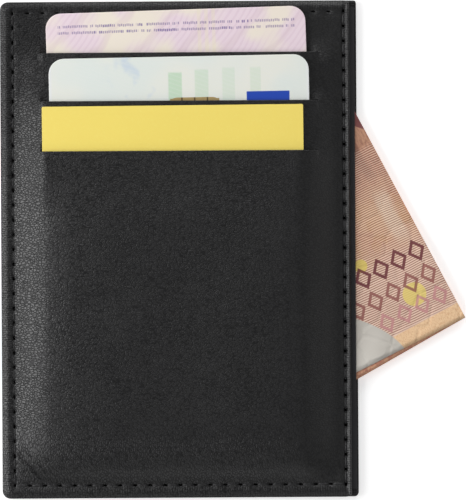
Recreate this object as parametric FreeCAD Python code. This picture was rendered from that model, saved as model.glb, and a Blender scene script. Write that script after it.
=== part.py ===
import FreeCAD, Part
import math
import os

# Card holder with three card slits in the front and a note pocket open on the right.
# Millimetres. It lies on its back: +X is the note pocket's mouth, +Y the side the
# cards come out of, +Z out of the front. Origin: near the centre of the back's outer face.

# ---- outline ----
CLOSED_X = -37.2
BACK_X1 = 36.85
BOTTOM_Y = -51.7
TOP_Y = 51.5
FRONT_X1 = 35.4
R_LEFT = 2.0
R_LOWER_RIGHT = 1.0
R_UPPER_RIGHT = 0.3

# A cutting block overruns what it cuts by this much.
OVERRUN = 1.0

# ---- levels, from the back outwards ----
BACK_LEATHER = 0.80
BACK_HEM_TOP = 1.10
BACK_LINING_TOP = 1.22
FILLER_TOP = 1.67
FRONT_LINING_TOP = 1.79
FRONT_HEM_TOP = 2.07
LEATHER = 0.50
RIM_TOP = FRONT_HEM_TOP + LEATHER
STEP_B_TOP = 4.07
STEP_C_TOP = 5.57
STEP_D_TOP = 6.61
LEAF = 0.12

# ---- front panel ----
SLIT_HALF = 29.0
SLIT_1_Y = 40.85
SLIT_2_Y = 30.80
SLIT_3_Y = 20.40
SLOPE_FOOT_X0 = -33.6
SLOPE_FOOT_X1 = 32.9
SLOPE_RUN = 3.6
SLOPE_FOOT_Y = -48.6
SLOPE_KNEE_Y = -46.9
SLOPE_KNEE_Z = 4.62
SLOPE_TOP_Y = -41.0
SLOPE_TOP_Z = 5.17
# Share of the leather's thickness by which the inner face drops below the knee.
KNEE_SHARE = 0.5
HEM_INNER_X = 31.0
HEM_INNER_Y = 45.5

# ---- note pocket ----
FILLER_W = 3.5
LINING_X0 = -35.5
BACK_LINING_X1 = 32.0
FRONT_LINING_X1 = 36.45
LINING_HALF_H = 50.0
STIFFENER_GAP = 0.1

# ---- seams ----
STITCH_PITCH = 3.1
STITCH_GAP = 0.6
THREAD_W = 0.55
THREAD_R = 0.25
THREAD_T = 0.22
GROOVE_W = 0.75
GROOVE_D = 0.28
SEAM_X0 = -34.6
SEAM_FRONT_X1 = 34.2
SEAM_BACK_X1 = 34.6
SEAM_Y0 = -49.0
SEAM_Y1 = 49.2

# ---- cards; each lies in a plane that passes just over its slit's lip and sinks to its floor ----
CLEAR = 0.06
CARD_W = 53.98
CARD_L = 85.60
CARD_T = 0.76
CARD_R = 3.18
CARD_1_AT = (-0.75, 49.7)
CARD_1_TILT = 1.6
CARD_1_FLOOR_Z = 2.15
CARD_2_AT = (-0.1, 39.95)
CARD_2_TILT = 0.8
CARD_2_FLOOR_Z = 3.10
CARD_3_AT = (-1.4, 29.8)
CARD_3_TILT = 0.3
CARD_3_FLOOR_Z = 4.20
CARD_3_W = 54.2
CARD_3_L = 69.0
CARD_3_T = 0.30
CARD_3_R = 0.3
CHIP_W = 10.6
CHIP_L = 12.4
CHIP_R = 1.6
CHIP_T = 0.05
CHIP_OFFSET_X = 3.2
CHIP_DOWN = 8.5

# ---- folded note ----
NOTE_W = 67.0
NOTE_HALF_L = 63.5
NOTE_CORNER = (59.1, -14.65)
NOTE_FOLD_DIR = 117.9
NOTE_FRONT_DIR = 206.4
NOTE_BACK_DIR = 209.4
NOTE_Z = 1.30
NOTE_PAPER = 0.11
NOTE_FOLD_GAP = 0.07
NOTE_SPINE_W = 0.3

# ---- card pockets: each row is left bar, right bar and floor, as (x0, x1) or (y0, y1) ----
LEAF_2_X = 31.0
LEAF_3_X = 29.9
LEAF_4_X = 29.0
LEAF_2_Y0 = -46.9
LEAF_3_Y0 = -46.6
LEAF_4_Y0 = -40.7
TAPE_1 = ((-30.8, -29.3), (29.8, 30.7), (-38.3, -36.9))
TAPE_2 = ((-29.8, -28.6), (28.9, 29.8), (-46.6, -46.2))
TAPE_3 = ((-29.2, -28.8), (27.2, 28.6), (-40.5, -39.8))


def box(x0, x1, y0, y1, z0, z1):
    return Part.makeBox(x1 - x0, y1 - y0, z1 - z0, FreeCAD.Vector(x0, y0, z0))


def line(y0, z0, y1, z1):
    """Height along Y of a straight slope through two points."""
    return lambda y: z0 + (y - y0) * (z1 - z0) / (y1 - y0)


def raised(slope, by):
    return lambda y: slope(y) + by


def wedge(x0, x1, y0, y1, low, high):
    """Block between two slopes that run along Y."""
    profile = ((y0, low(y0)), (y1, low(y1)), (y1, high(y1)), (y0, high(y0)))
    ring = [FreeCAD.Vector(x0, y, z) for y, z in profile]
    face = Part.Face(Part.makePolygon(ring + ring[:1]))
    return face.extrude(FreeCAD.Vector(x1 - x0, 0, 0))


def prism(points, z0, z1):
    """Extrude a plan polygon between two levels."""
    ring = [FreeCAD.Vector(x, y, z0) for x, y in points]
    face = Part.Face(Part.makePolygon(ring + ring[:1]))
    return face.extrude(FreeCAD.Vector(0, 0, z1 - z0))


def slab(x0, x1, y0, y1, z0, z1, radii):
    """Flat plate; radii go lower left, lower right, upper right, upper left."""
    corners = ((x0, y0, 180), (x1, y0, 270), (x1, y1, 0), (x0, y1, 90))
    arcs = []
    for (cx, cy, start), r in zip(corners, radii):
        mx = cx + r if cx == x0 else cx - r
        my = cy + r if cy == y0 else cy - r
        centre = FreeCAD.Vector(mx, my, z0)
        arcs.append(Part.makeCircle(r, centre, FreeCAD.Vector(0, 0, 1), start, start + 90))
    edges = []
    for arc, following in zip(arcs, arcs[1:] + arcs[:1]):
        edges.append(arc)
        edges.append(Part.makeLine(arc.Vertexes[-1].Point, following.Vertexes[0].Point))
    return Part.Face(Part.Wire(edges)).extrude(FreeCAD.Vector(0, 0, z1 - z0))


def outline(x0, x1, z0, z1):
    radii = (R_LEFT, R_LOWER_RIGHT, R_UPPER_RIGHT, R_LEFT)
    return slab(x0, x1, BOTTOM_Y, TOP_Y, z0, z1, radii)


def hem(x0, x1, z0, z1):
    """Turned edge: a flat ring under the panel's rim."""
    hole = box(-HEM_INNER_X, HEM_INNER_X, -HEM_INNER_Y, HEM_INNER_Y, z0 - OVERRUN, z1 + OVERRUN)
    return outline(x0, x1, z0, z1).cut(hole)


# ---- seams ----
def groove_x(x, z0, z1):
    """Stitch channel running along Y at one X."""
    half = GROOVE_W / 2
    return box(x - half, x + half, SEAM_Y0 - half, SEAM_Y1 + half, z0, z1)


def groove_y(y, x0, x1, z0, z1):
    half = GROOVE_W / 2
    return box(x0 - half, x1 + half, y - half, y + half, z0, z1)


def stitch_run(p0, p1, z0):
    """Row of stitches between two points on a straight seam."""
    span = FreeCAD.Vector(p1[0] - p0[0], p1[1] - p0[1], 0)
    count = int(round(span.Length / STITCH_PITCH))
    pitch = span.Length / count
    turn = math.degrees(math.atan2(span.y, span.x))
    stitches = []
    for i in range(count):
        start = i * pitch + STITCH_GAP / 2
        end = (i + 1) * pitch - STITCH_GAP / 2
        radii = (THREAD_R,) * 4
        bar = slab(start, end, -THREAD_W / 2, THREAD_W / 2, 0, THREAD_T, radii)
        bar.rotate(FreeCAD.Vector(0, 0, 0), FreeCAD.Vector(0, 0, 1), turn)
        bar.translate(FreeCAD.Vector(p0[0], p0[1], z0))
        stitches.append(bar)
    return stitches


def closed_seam(x1, z0):
    """Stitches down the left side and along the top and the bottom."""
    runs = stitch_run((SEAM_X0, SEAM_Y0), (SEAM_X0, SEAM_Y1), z0)
    runs += stitch_run((SEAM_X0, SEAM_Y1), (x1, SEAM_Y1), z0)
    runs += stitch_run((SEAM_X0, SEAM_Y0), (x1, SEAM_Y0), z0)
    return Part.makeCompound(runs)


def mouth_seam(x, z0):
    return Part.makeCompound(stitch_run((x, SEAM_Y0), (x, SEAM_Y1), z0))


def seam_grooves(x1, z0, z1):
    """Stitch channels on all four sides of an outer face."""
    left = groove_x(SEAM_X0, z0, z1)
    right = groove_x(x1, z0, z1)
    top = groove_y(SEAM_Y1, SEAM_X0, x1, z0, z1)
    bottom = groove_y(SEAM_Y0, SEAM_X0, x1, z0, z1)
    return left.fuse([right, top, bottom])


# ---- leather panels ----
def step_section(z_top, inset, z_bottom):
    """XZ section of a raised step; inset moves its sides and top inwards."""
    slant = SLOPE_RUN / (STEP_D_TOP - RIM_TOP)
    side = inset * math.hypot(1, slant)
    z1 = z_top - inset
    low = (z_bottom - RIM_TOP) * slant
    high = (z1 - RIM_TOP) * slant
    x0 = SLOPE_FOOT_X0 + side
    x1 = SLOPE_FOOT_X1 - side
    return [(x0 + low, z_bottom), (x1 - low, z_bottom), (x1 - high, z1), (x0 + high, z1)]


def step_solid(z_top, y_top, inset, z_bottom):
    """One raised step, ending at a slit above and at the sloping bottom below."""
    y0 = SLOPE_FOOT_Y - OVERRUN
    y1 = y_top - inset
    section = [FreeCAD.Vector(x, y0, z) for x, z in step_section(z_top, inset, z_bottom)]
    face = Part.Face(Part.makePolygon(section + section[:1]))
    solid = face.extrude(FreeCAD.Vector(0, y1 - y0, 0))
    return solid.common(bottom_slope(inset, z_bottom))


def bottom_slope(inset, z_bottom):
    """Everything under the front's sloping lower end."""
    rise = (SLOPE_KNEE_Z - RIM_TOP) / (SLOPE_KNEE_Y - SLOPE_FOOT_Y)
    side = inset * math.hypot(1, 1 / rise)
    foot = SLOPE_FOOT_Y + side + (z_bottom - RIM_TOP) / rise
    x0 = SLOPE_FOOT_X0 - OVERRUN
    x1 = SLOPE_FOOT_X1 + OVERRUN
    y1 = SLIT_1_Y + OVERRUN
    profile = [
        (foot, z_bottom),
        (y1, z_bottom),
        (y1, STEP_D_TOP - inset),
        (SLIT_3_Y, STEP_D_TOP - inset),
        (SLOPE_TOP_Y, SLOPE_TOP_Z - inset),
        (SLOPE_KNEE_Y + side, SLOPE_KNEE_Z - inset * KNEE_SHARE),
    ]
    ring = [FreeCAD.Vector(x0, y, z) for y, z in profile]
    face = Part.Face(Part.makePolygon(ring + ring[:1]))
    return face.extrude(FreeCAD.Vector(x1 - x0, 0, 0))


def slit_mouth(y, z0, z1):
    """Opening a card passes through, in the riser below a slit's upper lip."""
    return box(-SLIT_HALF, SLIT_HALF, y - 2 * LEATHER, y + LEATHER, z0, z1)


def front_panel():
    steps = ((STEP_B_TOP, SLIT_1_Y), (STEP_C_TOP, SLIT_2_Y), (STEP_D_TOP, SLIT_3_Y))
    plate = outline(CLOSED_X, FRONT_X1, FRONT_HEM_TOP, RIM_TOP)
    outer = [step_solid(z, y, 0, FRONT_HEM_TOP) for z, y in steps]
    hollow = [step_solid(z, y, LEATHER, FRONT_HEM_TOP) for z, y in steps]
    body = plate.fuse(outer)
    for part in hollow:
        body = body.cut(part)
    body = body.fuse(hem(CLOSED_X, FRONT_X1, FRONT_LINING_TOP, FRONT_HEM_TOP))
    body = body.cut(slit_mouth(SLIT_1_Y, RIM_TOP, STEP_B_TOP - LEATHER))
    body = body.cut(slit_mouth(SLIT_2_Y, STEP_B_TOP, STEP_C_TOP - LEATHER))
    body = body.cut(slit_mouth(SLIT_3_Y, STEP_C_TOP, STEP_D_TOP - LEATHER))
    body = body.cut(seam_grooves(SEAM_FRONT_X1, RIM_TOP - GROOVE_D, RIM_TOP))
    bobbin_top = FRONT_LINING_TOP + GROOVE_D
    body = body.cut(groove_x(SEAM_FRONT_X1, FRONT_LINING_TOP, bobbin_top))
    return body.removeSplitter()


def back_panel():
    body = outline(CLOSED_X, BACK_X1, 0, BACK_LEATHER)
    body = body.fuse(hem(CLOSED_X, BACK_X1, BACK_LEATHER, BACK_HEM_TOP))
    body = body.cut(seam_grooves(SEAM_BACK_X1, 0, GROOVE_D))
    body = body.cut(groove_x(SEAM_BACK_X1, BACK_HEM_TOP - GROOVE_D, BACK_HEM_TOP))
    return body.removeSplitter()


# ---- inner layers ----
def back_stiffener():
    half_w = HEM_INNER_X - STIFFENER_GAP
    half_h = HEM_INNER_Y - STIFFENER_GAP
    return box(-half_w, half_w, -half_h, half_h, BACK_LEATHER, BACK_HEM_TOP)


def note_pocket_lining(x1, z0, z1):
    return box(LINING_X0, x1, -LINING_HALF_H, LINING_HALF_H, z0, z1)


def edge_fillers():
    """Leather strips that join front and back on the three closed sides."""
    body = outline(CLOSED_X, FRONT_X1, BACK_LINING_TOP, FILLER_TOP)
    inner_x = CLOSED_X + FILLER_W
    inner_y0 = BOTTOM_Y + FILLER_W
    inner_y1 = TOP_Y - FILLER_W
    far_x0 = CLOSED_X - OVERRUN
    far_x1 = FRONT_X1 + OVERRUN
    above = box(far_x0, far_x1, inner_y1, TOP_Y + OVERRUN, 0, FRONT_HEM_TOP)
    below = box(far_x0, far_x1, BOTTOM_Y - OVERRUN, inner_y0, 0, FRONT_HEM_TOP)
    left = box(far_x0, inner_x, inner_y0, inner_y1, 0, FRONT_HEM_TOP)
    return {
        "edge_filler_left": body.common(left),
        "edge_filler_top": body.common(above),
        "edge_filler_bottom": body.common(below),
    }


def pocket_leaf_1():
    half_w = HEM_INNER_X - STIFFENER_GAP
    y1 = HEM_INNER_Y - STIFFENER_GAP
    return box(-half_w, half_w, TAPE_1[2][0], y1, FRONT_HEM_TOP - LEAF, FRONT_HEM_TOP)


def pocket_leaf(half_w, y0, slit_y, low):
    """Lining sheet over a card, glued under the lip below that card's slit."""
    return wedge(-half_w, half_w, y0, slit_y - LEATHER, low, raised(low, LEAF))


def pocket_tapes(number, tape, slit_y, low, high):
    """Glued edge strips that close a card pocket's sides and floor."""
    left, right, floor = tape
    y1 = slit_y - 2 * LEATHER
    stem = "pocket_%d_tape_" % number
    return {
        stem + "left": wedge(left[0], left[1], floor[1], y1, low, high),
        stem + "right": wedge(right[0], right[1], floor[1], y1, low, high),
        stem + "floor": wedge(left[0], right[1], floor[0], floor[1], low, high),
    }


# ---- contents ----
def place(shape, at, tilt):
    shape.rotate(FreeCAD.Vector(0, 0, 0), FreeCAD.Vector(0, 0, 1), tilt)
    shape.translate(FreeCAD.Vector(at[0], at[1], 0))
    return shape


def card(width, length, thickness, radius, at, tilt, z0):
    """Level card whose top edge's middle sits at the given point."""
    radii = (radius,) * 4
    body = slab(-width / 2, width / 2, -length, 0, z0, z0 + thickness, radii)
    return place(body, at, tilt)


def leant(shape, slope, slit_y):
    """Leans a level card about the line where it crosses its slit."""
    pitch = math.degrees(math.atan(slope(1) - slope(0)))
    pivot = FreeCAD.Vector(0, slit_y, slope(slit_y))
    shape.rotate(pivot, FreeCAD.Vector(1, 0, 0), pitch)
    return shape


def chip_contact_plate(z1):
    """Level contact plate whose face is at z1."""
    x0 = CHIP_OFFSET_X - CHIP_W / 2
    y1 = -CHIP_DOWN
    radii = (CHIP_R,) * 4
    plate = slab(x0, x0 + CHIP_W, y1 - CHIP_L, y1, z1 - CHIP_T, z1, radii)
    return place(plate, CARD_2_AT, CARD_2_TILT)


def cards(under_1, under_2, under_3):
    """The three cards and the chip plate, each leaning in its own plane."""
    z1, z2, z3 = under_1(SLIT_1_Y), under_2(SLIT_2_Y), under_3(SLIT_3_Y)
    top = card(CARD_W, CARD_L, CARD_T, CARD_R, CARD_1_AT, CARD_1_TILT, z1)
    middle = card(CARD_W, CARD_L, CARD_T, CARD_R, CARD_2_AT, CARD_2_TILT, z2)
    chip = chip_contact_plate(z2 + CARD_T)
    middle = middle.cut(chip)
    bottom = card(CARD_3_W, CARD_3_L, CARD_3_T, CARD_3_R, CARD_3_AT, CARD_3_TILT, z3)
    return {
        "card_top": leant(top, under_1, SLIT_1_Y),
        "card_middle": leant(middle, under_2, SLIT_2_Y),
        "chip_contact_plate": leant(chip, under_2, SLIT_2_Y),
        "card_bottom": leant(bottom, under_3, SLIT_3_Y),
    }


def along(point, direction, length):
    a = math.radians(direction)
    return (point[0] + length * math.cos(a), point[1] + length * math.sin(a))


def note_leaf(direction, length, z0, z1):
    """Parallelogram of paper running from the fold in one direction."""
    top = along(NOTE_CORNER, NOTE_FOLD_DIR, NOTE_W)
    far = along(top, direction, length)
    near = along(NOTE_CORNER, direction, length)
    return prism([NOTE_CORNER, top, far, near], z0, z1)


def folded_note():
    """Paper folded in half, the fold outermost and a little skewed."""
    z1 = NOTE_Z + NOTE_PAPER
    z2 = z1 + NOTE_FOLD_GAP
    back = note_leaf(NOTE_BACK_DIR, NOTE_HALF_L, NOTE_Z, z1)
    spine = note_leaf(NOTE_FRONT_DIR, NOTE_SPINE_W, z1, z2)
    front = note_leaf(NOTE_FRONT_DIR, NOTE_HALF_L, z2, z2 + NOTE_PAPER)
    return back.fuse([spine, front]).removeSplitter()


def build_nodes():
    nodes = {}
    nodes["front_panel"] = front_panel()
    nodes["back_panel"] = back_panel()
    nodes["back_stiffener"] = back_stiffener()
    back_lining = note_pocket_lining(BACK_LINING_X1, BACK_HEM_TOP, BACK_LINING_TOP)
    nodes["note_pocket_back_lining"] = back_lining
    front_lining = note_pocket_lining(FRONT_LINING_X1, FILLER_TOP, FRONT_LINING_TOP)
    nodes["note_pocket_front_lining"] = front_lining
    nodes.update(edge_fillers())
    nodes["pocket_leaf_1"] = pocket_leaf_1()
    under_1 = line(TAPE_1[2][1], CARD_1_FLOOR_Z, SLIT_1_Y, RIM_TOP + CLEAR)
    under_2 = line(TAPE_2[2][1], CARD_2_FLOOR_Z, SLIT_2_Y, STEP_B_TOP + CLEAR)
    under_3 = line(TAPE_3[2][1], CARD_3_FLOOR_Z, SLIT_3_Y, STEP_C_TOP + CLEAR)
    leaf_2 = raised(under_1, CARD_T + CLEAR)
    leaf_3 = raised(under_2, CARD_T + CLEAR)
    leaf_4 = raised(under_3, CARD_3_T + CLEAR)
    nodes["pocket_leaf_2"] = pocket_leaf(LEAF_2_X, LEAF_2_Y0, SLIT_1_Y, leaf_2)
    nodes["pocket_leaf_3"] = pocket_leaf(LEAF_3_X, LEAF_3_Y0, SLIT_2_Y, leaf_3)
    nodes["pocket_leaf_4"] = pocket_leaf(LEAF_4_X, LEAF_4_Y0, SLIT_3_Y, leaf_4)
    hem_level = line(SLOPE_FOOT_Y, FRONT_HEM_TOP, SLIT_1_Y, FRONT_HEM_TOP)
    nodes.update(pocket_tapes(1, TAPE_1, SLIT_1_Y, hem_level, leaf_2))
    nodes.update(pocket_tapes(2, TAPE_2, SLIT_2_Y, raised(leaf_2, LEAF), leaf_3))
    nodes.update(pocket_tapes(3, TAPE_3, SLIT_3_Y, raised(leaf_3, LEAF), leaf_4))
    nodes.update(cards(under_1, under_2, under_3))
    front_thread_z = RIM_TOP - GROOVE_D
    inner_thread_z = FRONT_LINING_TOP + GROOVE_D - THREAD_T
    back_thread_z = GROOVE_D - THREAD_T
    back_inner_z = BACK_HEM_TOP - GROOVE_D
    nodes["closed_seam_needle_thread"] = closed_seam(SEAM_FRONT_X1, front_thread_z)
    nodes["closed_seam_bobbin_thread"] = closed_seam(SEAM_BACK_X1, back_thread_z)
    nodes["front_mouth_needle_thread"] = mouth_seam(SEAM_FRONT_X1, front_thread_z)
    nodes["front_mouth_bobbin_thread"] = mouth_seam(SEAM_FRONT_X1, inner_thread_z)
    nodes["back_mouth_needle_thread"] = mouth_seam(SEAM_BACK_X1, back_thread_z)
    nodes["back_mouth_bobbin_thread"] = mouth_seam(SEAM_BACK_X1, back_inner_z)
    nodes["folded_note"] = folded_note()
    return nodes


os.makedirs("parts", exist_ok=True)
for name, shape in build_nodes().items():
    shape.exportStep("parts/" + name + ".step")
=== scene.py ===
import math

import bpy
import numpy as np
from mathutils import Matrix, Vector


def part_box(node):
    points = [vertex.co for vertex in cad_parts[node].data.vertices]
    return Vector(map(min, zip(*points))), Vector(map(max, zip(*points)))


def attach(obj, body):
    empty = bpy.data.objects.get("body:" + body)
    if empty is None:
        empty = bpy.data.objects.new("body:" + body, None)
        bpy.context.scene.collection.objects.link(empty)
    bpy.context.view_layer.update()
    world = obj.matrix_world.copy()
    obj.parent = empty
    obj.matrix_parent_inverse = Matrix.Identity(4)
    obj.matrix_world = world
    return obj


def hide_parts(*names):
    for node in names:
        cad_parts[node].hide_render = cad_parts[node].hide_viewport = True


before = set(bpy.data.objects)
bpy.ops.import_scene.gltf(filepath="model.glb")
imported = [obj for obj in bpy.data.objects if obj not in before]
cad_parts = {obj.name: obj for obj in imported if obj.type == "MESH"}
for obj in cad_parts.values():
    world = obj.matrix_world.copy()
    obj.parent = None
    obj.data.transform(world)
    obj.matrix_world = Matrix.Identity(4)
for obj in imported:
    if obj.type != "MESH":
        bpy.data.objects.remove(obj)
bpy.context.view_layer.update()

MM = 0.001

# ---- sizes in millimetres, in the row frame ----
SLITS = (40.85, 30.80, 20.40)
SLIT_HALF = 29.0
STEP_RISE = (0.0, 1.50, 3.00, 4.12)
RIM_TOP = 2.57
HEM_TOP = 2.07
HEM_UNDER = 1.79
HEM_W = 5.9
LEATHER_T = 0.38
R_LEFT = 1.7
R_LOWER_RIGHT = 1.0
R_UPPER_RIGHT = 0.3
R_BACK_UPPER_RIGHT = 0.6
SEAM_LEFT_X = -34.6
SEAM_FRONT_X = 34.2
SEAM_BACK_X = 34.6
SEAM_BOTTOM_Y = -49.0
SEAM_TOP_Y = 49.2
STITCH_PITCH = 3.1
BACK_CREST = 0.09
# Standard card: width, length, thickness, corner radius, edge rounding; then the paper card.
CARD_T = 0.76
ID_CARD = (53.98, 85.6, CARD_T, 3.18, 0.08)
PAPER_T = 0.30
PAPER_CARD = (54.2, 69.0, PAPER_T, 0.3, 0.05)
# Middle of each card's top edge, and its turn in degrees.
TOP_CARD_AT, TOP_CARD_TURN = (-0.75, 49.7), 1.6
MIDDLE_CARD_AT, MIDDLE_CARD_TURN = (-0.1, 39.95), 0.8
BOTTOM_CARD_AT, BOTTOM_CARD_TURN = (-1.4, 29.8), 0.3
# Chip plate: its middle from the card's, its top edge from the card's, and its size as for a card.
CHIP_ACROSS, CHIP_DOWN = 3.2, 8.5
CHIP_PLATE = (10.6, 12.4, 0.06, 1.6, 0.015)
# Pocket floors from the top slit's down, each as Y and height under its card.
POCKET_FLOORS = ((-36.9, 2.15), (-46.2, 3.10), (-39.8, 4.20))
# Clearance between a card and the leaves beside it, and the thickness of a leaf.
CLEAR = 0.06
LEAF = 0.12
# Note: the outer end of its fold, the turn of the fold from Y, and the way each half runs from it.
NOTE_CORNER = (59.1, -14.65)
NOTE_TURN = 27.9
NOTE_BACK_DIR, NOTE_FRONT_DIR = 209.4, 206.4
NOTE_HALF_L, NOTE_W = 63.5, 67.0
NOTE_PAPER = 0.1

# Height of the main face over the rim, from the lower edge up to the last slit.
MAIN_AT = (-51.5, -39.0, -10.0, 10.0, 20.4)
MAIN_UP = (3.1, 3.45, 4.35, 4.5, 4.12)
# Share of that height reached on the way in from each seam: beside the slits, then lower down.
LEFT_AT = (-34.6, -33.6, -30.0, -28.0, -26.0, -24.0, -19.0, -8.0)
LEFT_BY_SLITS = (0.0, 0.10, 0.72, 0.98, 1.0, 1.0, 1.0, 1.0)
LEFT_BELOW = (0.0, 0.10, 0.52, 0.71, 0.82, 0.89, 0.96, 1.0)
RIGHT_AT = (22.0, 26.0, 29.0, 32.5, 33.8)
RIGHT_BY_SLITS = (1.0, 1.0, 0.68, 0.12, 0.0)
RIGHT_BELOW = (1.0, 0.91, 0.57, 0.09, 0.0)
BOTTOM_AT = (-48.9, -48.2, -45.5, -43.0, -39.0, -34.0)
BOTTOM_UP = (0.0, 0.08, 0.54, 0.78, 0.94, 1.0)
# Height of a stitched rim against the distance from its edge: closed sides, then the mouth.
RIM_AT = (0.0, 0.3, 0.7, 1.2, 1.7, 2.2, 2.6, 2.9, 3.3, 4.4)
RIM_UP = (-0.38, -0.19, 0.0, 0.16, 0.13, 0.06, -0.06, -0.03, 0.0, 0.0)
MOUTH_AT = (0.0, 0.15, 0.45, 0.7, 0.9, 1.1, 1.6, 2.3)
MOUTH_UP = (0.32, 0.25, 0.09, -0.05, -0.14, -0.13, -0.04, 0.0)
# The leather turns more tightly at the mouth, where its fold stands out by this share of its height.
MOUTH_FOLD = 0.6
# Most that the top rim stands up under the upper card.
UNDER_CARD = 0.07
# The mouth's seam is nearer its edge than the others by this factor.
MOUTH_PULL = 2.0
# Widths over which a strip meets the margin beside it: along its own lip, then at the foot of
# the strip above, on the left and on the right.
LIP_MEETS, LEFT_MEETS, RIGHT_MEETS = 0.5, 1.0, 2.2
# Slanting line of the creases across the lower left corner: its normal, its offset along the
# normal, and where it starts.
CORNER_X, CORNER_Y, CORNER_OFF, CORNER_START = 0.73, 0.68, 53.5, 7.404
# Needle holes: reach, depth and spread of the slot, depth and spread of the dimple round it.
HOLE_REACH = 1.6
SLOT_DEEP, SLOT_SPREAD = 0.5, 0.05
DIMPLE_DEEP, DIMPLE_SPREAD = 0.08, 0.6
# Threads: the ground that each runs on, half the gap between stitches, and the strand's radius.
FRONT_FACE_Z, FRONT_INSIDE_Z = 2.43, 2.04
BACK_FACE_Z, BACK_INSIDE_Z = 0.30, 0.98
STITCH_END = 0.28
STRAND_R = 0.235


# ---- curves and relief ----
def smooth(t):
    t = np.clip(t, 0, 1)
    return t * t * (3 - 2 * t)


def hermite(x, xs, ys):
    """Smooth curve through points."""
    xs, ys = np.array(xs, float), np.array(ys, float)
    m = np.gradient(ys, xs)
    i = np.clip(np.searchsorted(xs, x, side="right") - 1, 0, len(xs) - 2)
    h = xs[i + 1] - xs[i]
    t = np.clip((x - xs[i]) / h, 0, 1)
    a = (1 + 2 * t) * (1 - t) ** 2 * ys[i] + t * (1 - t) ** 2 * h * m[i]
    b = t * t * (3 - 2 * t) * ys[i + 1] + t * t * (t - 1) * h * m[i + 1]
    return a + b


def relief(x, y, cell, seed):
    """Smooth random relief from -1 to 1, its bumps about one cell wide."""
    size = 128
    table = np.random.default_rng(seed).uniform(-1, 1, (size, size))
    u, v = np.asarray(x) / cell, np.asarray(y) / cell
    i, j = np.floor(u).astype(int), np.floor(v).astype(int)
    f, g = smooth(u - i), smooth(v - j)

    def corner(a, b):
        return table[(i + a) % size, (j + b) % size]

    low = corner(0, 0) * (1 - f) + corner(1, 0) * f
    high = corner(0, 1) * (1 - f) + corner(1, 1) * f
    return low * (1 - g) + high * g


def spaced(stops, step):
    """Grid lines through every stop, no further apart than step."""
    lines = [stops[0]]
    for a, b in zip(stops, stops[1:]):
        n = max(1, math.ceil(abs(b - a) / step))
        lines += [a + (b - a) * k / n for k in range(1, n + 1)]
    return np.array(lines)


def stitch_ends(p0, p1):
    """Needle holes along a straight seam."""
    p0, p1 = np.array(p0, float), np.array(p1, float)
    count = round(float(np.linalg.norm(p1 - p0)) / STITCH_PITCH)
    return [p0 + (p1 - p0) * k / count for k in range(count + 1)]


def seam_lines(x1):
    """The four straight seams of a panel, as pairs of end points."""
    low, high = SEAM_BOTTOM_Y, SEAM_TOP_Y
    return {
        "left": ((SEAM_LEFT_X, low), (SEAM_LEFT_X, high)),
        "top": ((SEAM_LEFT_X, high), (x1, high)),
        "bottom": ((SEAM_LEFT_X, low), (x1, low)),
        "right": ((x1, low), (x1, high)),
    }


def dimples(x, y, x1):
    """Slots the needle leaves, with the leather drawn down around them."""
    z = np.zeros_like(x)
    for side, (p0, p1) in seam_lines(x1).items():
        holes = stitch_ends(p0, p1)
        long_x, long_y = 1.0, 4.0
        if side in ("top", "bottom"):
            holes = holes[1:-1]
            long_x, long_y = 6.0, 1.0
        for hx, hy in holes:
            near = (np.abs(x - hx) < HOLE_REACH) & (np.abs(y - hy) < HOLE_REACH)
            dx2, dy2 = (x[near] - hx) ** 2, (y[near] - hy) ** 2
            z[near] -= SLOT_DEEP * np.exp(-(dx2 / long_x + dy2 / long_y) / SLOT_SPREAD)
            z[near] -= DIMPLE_DEEP * np.exp(-(dx2 + dy2) / DIMPLE_SPREAD)
    return z


# ---- mesh helpers ----
def add_mesh(name, points, faces, material, smooth_shading=True):
    """points in millimetres."""
    mesh = bpy.data.meshes.new(name)
    mesh.from_pydata([tuple(p) for p in np.asarray(points) * MM], [], faces)
    mesh.update()
    if smooth_shading:
        mesh.shade_smooth()
    mesh.materials.append(material)
    obj = bpy.data.objects.new(name, mesh)
    bpy.context.scene.collection.objects.link(obj)
    return obj


def finish_piece(obj, body, node):
    """Shows obj in place of a CAD node, on the node's body."""
    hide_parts(node)
    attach(obj, body)


def round_corners(x, y, x0, x1, y0, y1, radii):
    """Moves points of a square-cornered plan to one with rounded corners.
    radii go lower left, lower right, upper right, upper left."""
    x, y = x.copy(), y.copy()
    corners = ((x0, y0, 1, 1), (x1, y0, -1, 1), (x1, y1, -1, -1), (x0, y1, 1, -1))
    for (cx, cy, sx, sy), r in zip(corners, radii):
        u = 1 - (x - cx) * sx / r
        v = 1 - (y - cy) * sy / r
        inside = (u > 1e-9) & (v > 1e-9)
        a, b = u[inside], v[inside]
        far = np.maximum(a, b)
        turn = np.where(a > b, math.pi / 4 * b / far, math.pi / 2 - math.pi / 4 * a / far)
        x[inside] = cx + sx * (r - r * far * np.cos(turn))
        y[inside] = cy + sy * (r - r * far * np.sin(turn))
    return x, y


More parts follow.
